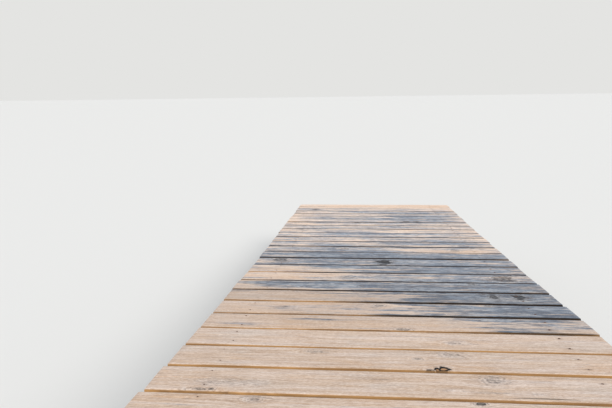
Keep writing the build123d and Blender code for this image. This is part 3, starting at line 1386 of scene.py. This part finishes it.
# %% Dressed piles
def log_roughness(spot, number):
    """Hollows and bumps of a log's skin: wide ones, and narrow ones four tenths as deep."""
    x, y, z = spot
    wide = noise.noise(Vector((x * 6, y * 6, z * 2.2)) + Vector((number * 5.3, 0, 0)))
    return wide + 0.4 * noise.noise(Vector((x * 22, y * 22, z * 5)) + Vector((0, number * 5.3, 0)))


def shrink_skin(points, centre, number, checks):
    """The skin's points moved in, by a millimetre or two, and by 8 mm along a check."""
    flat = points[:, :2] - centre
    rough = np.array([log_roughness(p, number) for p in points])
    inward = np.clip((1.0 + 1.1 * rough) * 1.4 * mm, 0, None)
    around = np.arctan2(flat[:, 1], flat[:, 0])
    for turn, middle, half in checks:
        off_line = np.abs((around - turn + pi) % (2 * pi) - pi)
        open_share = np.clip(1 - np.abs(points[:, 2] - middle) / half, 0, 1) ** 0.5
        inward += np.where(off_line < 0.2 * check_half_width, open_share * 8 * mm, 0)
    straight_out = flat / np.maximum(np.hypot(*flat.T), touching)[:, None]
    return centre + straight_out * (pile_radius - inward)[:, None]


def pile_piece(node, number):
    """A dressed log that stands for a pile node."""
    rng = Random(400 + number)
    low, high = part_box(node)
    centre = Vector(((low.x + high.x) / 2, (low.y + high.y) / 2, 0))
    bm = dressed_copy(node)
    checks = drying_checks(rng, high.z)
    cut_staves(bm, centre, high.z, checks)
    skin = skin_faces(bm, centre)
    on_skin = skin_points(bm, skin)
    sawn = np.array([face not in skin for face in bm.faces], np.float32)
    points = np.array([v.co for v in bm.verts])
    mesh = to_mesh(bm, node + "_log")
    middle = np.array(centre)[:2]
    moved = points.copy()
    moved[on_skin, :2] = shrink_skin(points, middle, number, checks)[on_skin]
    mesh.vertices.foreach_set("co", moved.ravel())
    place = np.column_stack((points[:, 2], points[:, :2] - middle))
    set_vectors(mesh, "place", "POINT", place + np.array((number * 3.7, 0, 0)))
    set_vectors(mesh, "look", "POINT", np.tile((rng.uniform(0.9, 1.08), 0.0, 0.0), (len(place), 1)))
    mesh.attributes.new("cut", "FLOAT", "FACE").data.foreach_set("value", sawn)
    mesh.materials.append(log_pine)
    smooth_with_corners(mesh, 24)
    print(node, "faces:", len(mesh.polygons), "of them sawn:", int(sawn.sum()))
    return stand(mesh.name, mesh)


pile_nodes = sorted(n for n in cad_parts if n.startswith("pile"))
for number, node in enumerate(pile_nodes):
    piece = pile_piece(node, number)
    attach(piece, "root")
    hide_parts(node)
print("piles:", len(pile_nodes))


# %% [markdown]
# ## Bolts
#
# At each pile head two long bolts run right through cap, tongue and cap, with a washer under head
# and nut so that they don't crush the wood. Each brace has one bolt at each pile it crosses, and two
# bolts hold each splice of the stringers. A six-sided head is a cone with six segments, its top edge
# bevelled off.


# %% Bolts and washers
# segments, start and height above the wood, low radius and high radius, in millimetres
washer = (24, 0, 3, 22, 22)
six_sided = (6, 3, 10, 13.5, 13.5)
thread_end = (12, 13, 6, 8, 7)


def bolt_end(bm, spot, out, nut=False):
    """A washer and a six-sided head or nut, standing on a face, with the direction out of it."""
    matrix = Matrix.Translation(spot) @ facing(out)
    for segments, *sizes in (washer, six_sided, thread_end) if nut else (washer, six_sided):
        start, height, low_radius, high_radius = (size * mm for size in sizes)
        made = bmesh.ops.create_cone(
            bm, cap_ends=True, segments=segments, radius1=low_radius, radius2=high_radius, depth=height
        )
        verts = made["verts"]
        bmesh.ops.translate(bm, verts=verts, vec=(0, 0, start + height / 2))
        level = start + height - touching
        edges = {e for v in verts for e in v.link_edges}
        top = [e for e in edges if all(v.co.z > level for v in e.verts)]
        bevelled = bmesh.ops.bevel(
            bm, geom=top, offset=1.2 * mm, segments=1, profile=0.5, affect="EDGES", material=-1
        )
        whole = {v for v in verts if v.is_valid} | set(bevelled["verts"])
        bmesh.ops.transform(bm, matrix=matrix, verts=list(whole))


bolts = bmesh.new()
for bent in (1, 2, 3, 4, 5):
    lake_low, lake_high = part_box(f"cap_lake_bent_{bent}")
    shore_face_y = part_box(f"cap_shore_bent_{bent}")[0].y
    for x in (-stringer_line, stringer_line):
        for across, up in ((-22 * mm, 95 * mm), (22 * mm, 45 * mm)):
            z = lake_low.z + up
            bolt_end(bolts, Vector((x + across, lake_high.y, z)), Vector((0, 1, 0)))
            bolt_end(bolts, Vector((x + across, shore_face_y, z)), Vector((0, -1, 0)), nut=True)
cap_bolts = fastener_piece(bolts, "cap_bolts")

# A brace's middle line climbs by its whole height less the height of its plumb-cut end
plumb_cut = 104 * mm
side_bolt_inset = 50 * mm
bolts = bmesh.new()
for bent in (3, 4, 5):
    for face, out in (("lake", 1), ("shore", -1)):
        low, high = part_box(f"cross_brace_{face}_bent_{bent}")
        rise = (high.z - low.z - plumb_cut) / (high.x - low.x) * -out
        y = high.y if out > 0 else low.y
        for x in (-stringer_line, stringer_line):
            bolt_end(bolts, Vector((x, y, (low.z + high.z) / 2 + rise * x)), Vector((0, out, 0)))
for bay in (3, 4):
    for name, out in (("left", -1), ("right", 1)):
        low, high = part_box(f"side_brace_{name}_bay_{bay}")
        rise = (high.z - low.z - plumb_cut) / (high.y - low.y)
        x = high.x if out > 0 else low.x
        for y in (low.y + side_bolt_inset, high.y - side_bolt_inset):
            z = (low.z + high.z) / 2 - rise * (y - (low.y + high.y) / 2)
            bolt_end(bolts, Vector((x, y, z)), Vector((out, 0, 0)))
brace_bolts = fastener_piece(bolts, "brace_bolts")

# The splice bolts stand under the stringers, either side of the caps
bolts = bmesh.new()
for x in (-stringer_line, stringer_line):
    for aside in (-127 * mm, 127 * mm):
        spot = Vector((x, deck_length / 2 + aside, -board_thick - stringer_depth))
        bolt_end(bolts, deck_to_model @ spot, -above_deck, nut=True)
splice_bolts = fastener_piece(bolts, "splice_bolts")

# %% [markdown]
# ## Floor
#
# The jetty stands on a plain pale floor, matt so that it mirrors nothing. It isn't part of the object.

# %% Floor
floor_bm = bmesh.new()
bmesh.ops.create_grid(floor_bm, x_segments=1, y_segments=1, size=60)
floor_mesh = to_mesh(floor_bm, "floor")
floor_material, _, floor_shader = new_material("pale_studio_floor")
give_finish(floor_shader, {"Base Color": "#dcdcda", "Roughness": 0.9, "Specular IOR Level": 0.1})
floor_mesh.materials.append(floor_material)
floor = stand("floor", floor_mesh)
print("floor is", floor.dimensions.x, "m wide")

# %% [markdown]
# ## Camera
#
# The camera stands over the deck, a little under two thirds of a metre above it, and looks out to
# the lake end. Its place and its turns were solved from the deck's two edges and the seams between
# the planks, in deck directions, and the matrix carries them into the model.

# %% Camera
focal_pixels, frame_width = 613, 612
eye_height, eye_across, eye_along = 578.5 * mm, -97.2 * mm, 5328.6 * mm
pitch, yaw, roll = radians(6.14), radians(-5.245), radians(-0.371)

camera_data = bpy.data.cameras.new("camera")
camera_data.sensor_width = 36
camera_data.lens = camera_data.sensor_width * focal_pixels / frame_width
camera_data.clip_end = 200
camera = stand("camera", camera_data)
ahead = Vector((sin(yaw) * cos(pitch), -cos(yaw) * cos(pitch), -sin(pitch)))
rightwards = Vector((cos(yaw), sin(yaw), 0))
upwards = ahead.cross(rightwards)
turned_right = rightwards * cos(roll) + upwards * sin(roll)
turned_up = upwards * cos(roll) - rightwards * sin(roll)
deck_turn = deck_to_model.to_3x3()
turn = Matrix([deck_turn @ way for way in (turned_right, turned_up, -ahead)]).transposed()
eye = deck_to_model @ Vector((eye_across, eye_along, eye_height))
camera.matrix_world = Matrix.Translation(eye) @ turn.to_4x4()
bpy.context.scene.camera = camera
print("camera at", [round(v, 3) for v in camera.matrix_world.translation])

# %% [markdown]
# ## Light
#
# One wide soft lamp stands for a low sun behind thin cloud, and a pale sky fills the shadows. What
# the camera sees behind the jetty, straight or in a reflection, is a brighter white that lights
# nothing, so the background is pale and the wood keeps its colours.

# %% Light
sun_data = bpy.data.lights.new("key", "SUN")
sun_data.energy = 3.2
sun_data.angle = radians(28)
sun_data.color = (1.0, 0.965, 0.92)
key = stand("key", sun_data)
key.rotation_euler = Vector((0.5, -0.8, 0.66)).to_track_quat("Z", "Y").to_euler()

world = bpy.data.worlds.new("studio")
bpy.context.scene.world = world
world.use_nodes = True
sky = world.node_tree
sky_light = sky.nodes["Background"]
give_finish(sky_light, {"Color": (0.9, 0.94, 1.0, 1), "Strength": 0.64})
backdrop = add(sky, "Background", Color="#e4e4e2", Strength=1.0)
ray = add(sky, "LightPath").node.outputs
seen = add(sky, "Math", ray["Is Camera Ray"], ray["Is Glossy Ray"], operation="MAXIMUM")
seen = add(sky, "Math", seen, ray["Is Transmission Ray"], operation="MAXIMUM")
mixed = add(sky, "MixShader", seen, sky_light.outputs[0], backdrop)
feed(sky.nodes["World Output"].inputs["Surface"], mixed)
bpy.context.scene.view_settings.view_transform = "Standard"
print("sun strength", sun_data.energy)
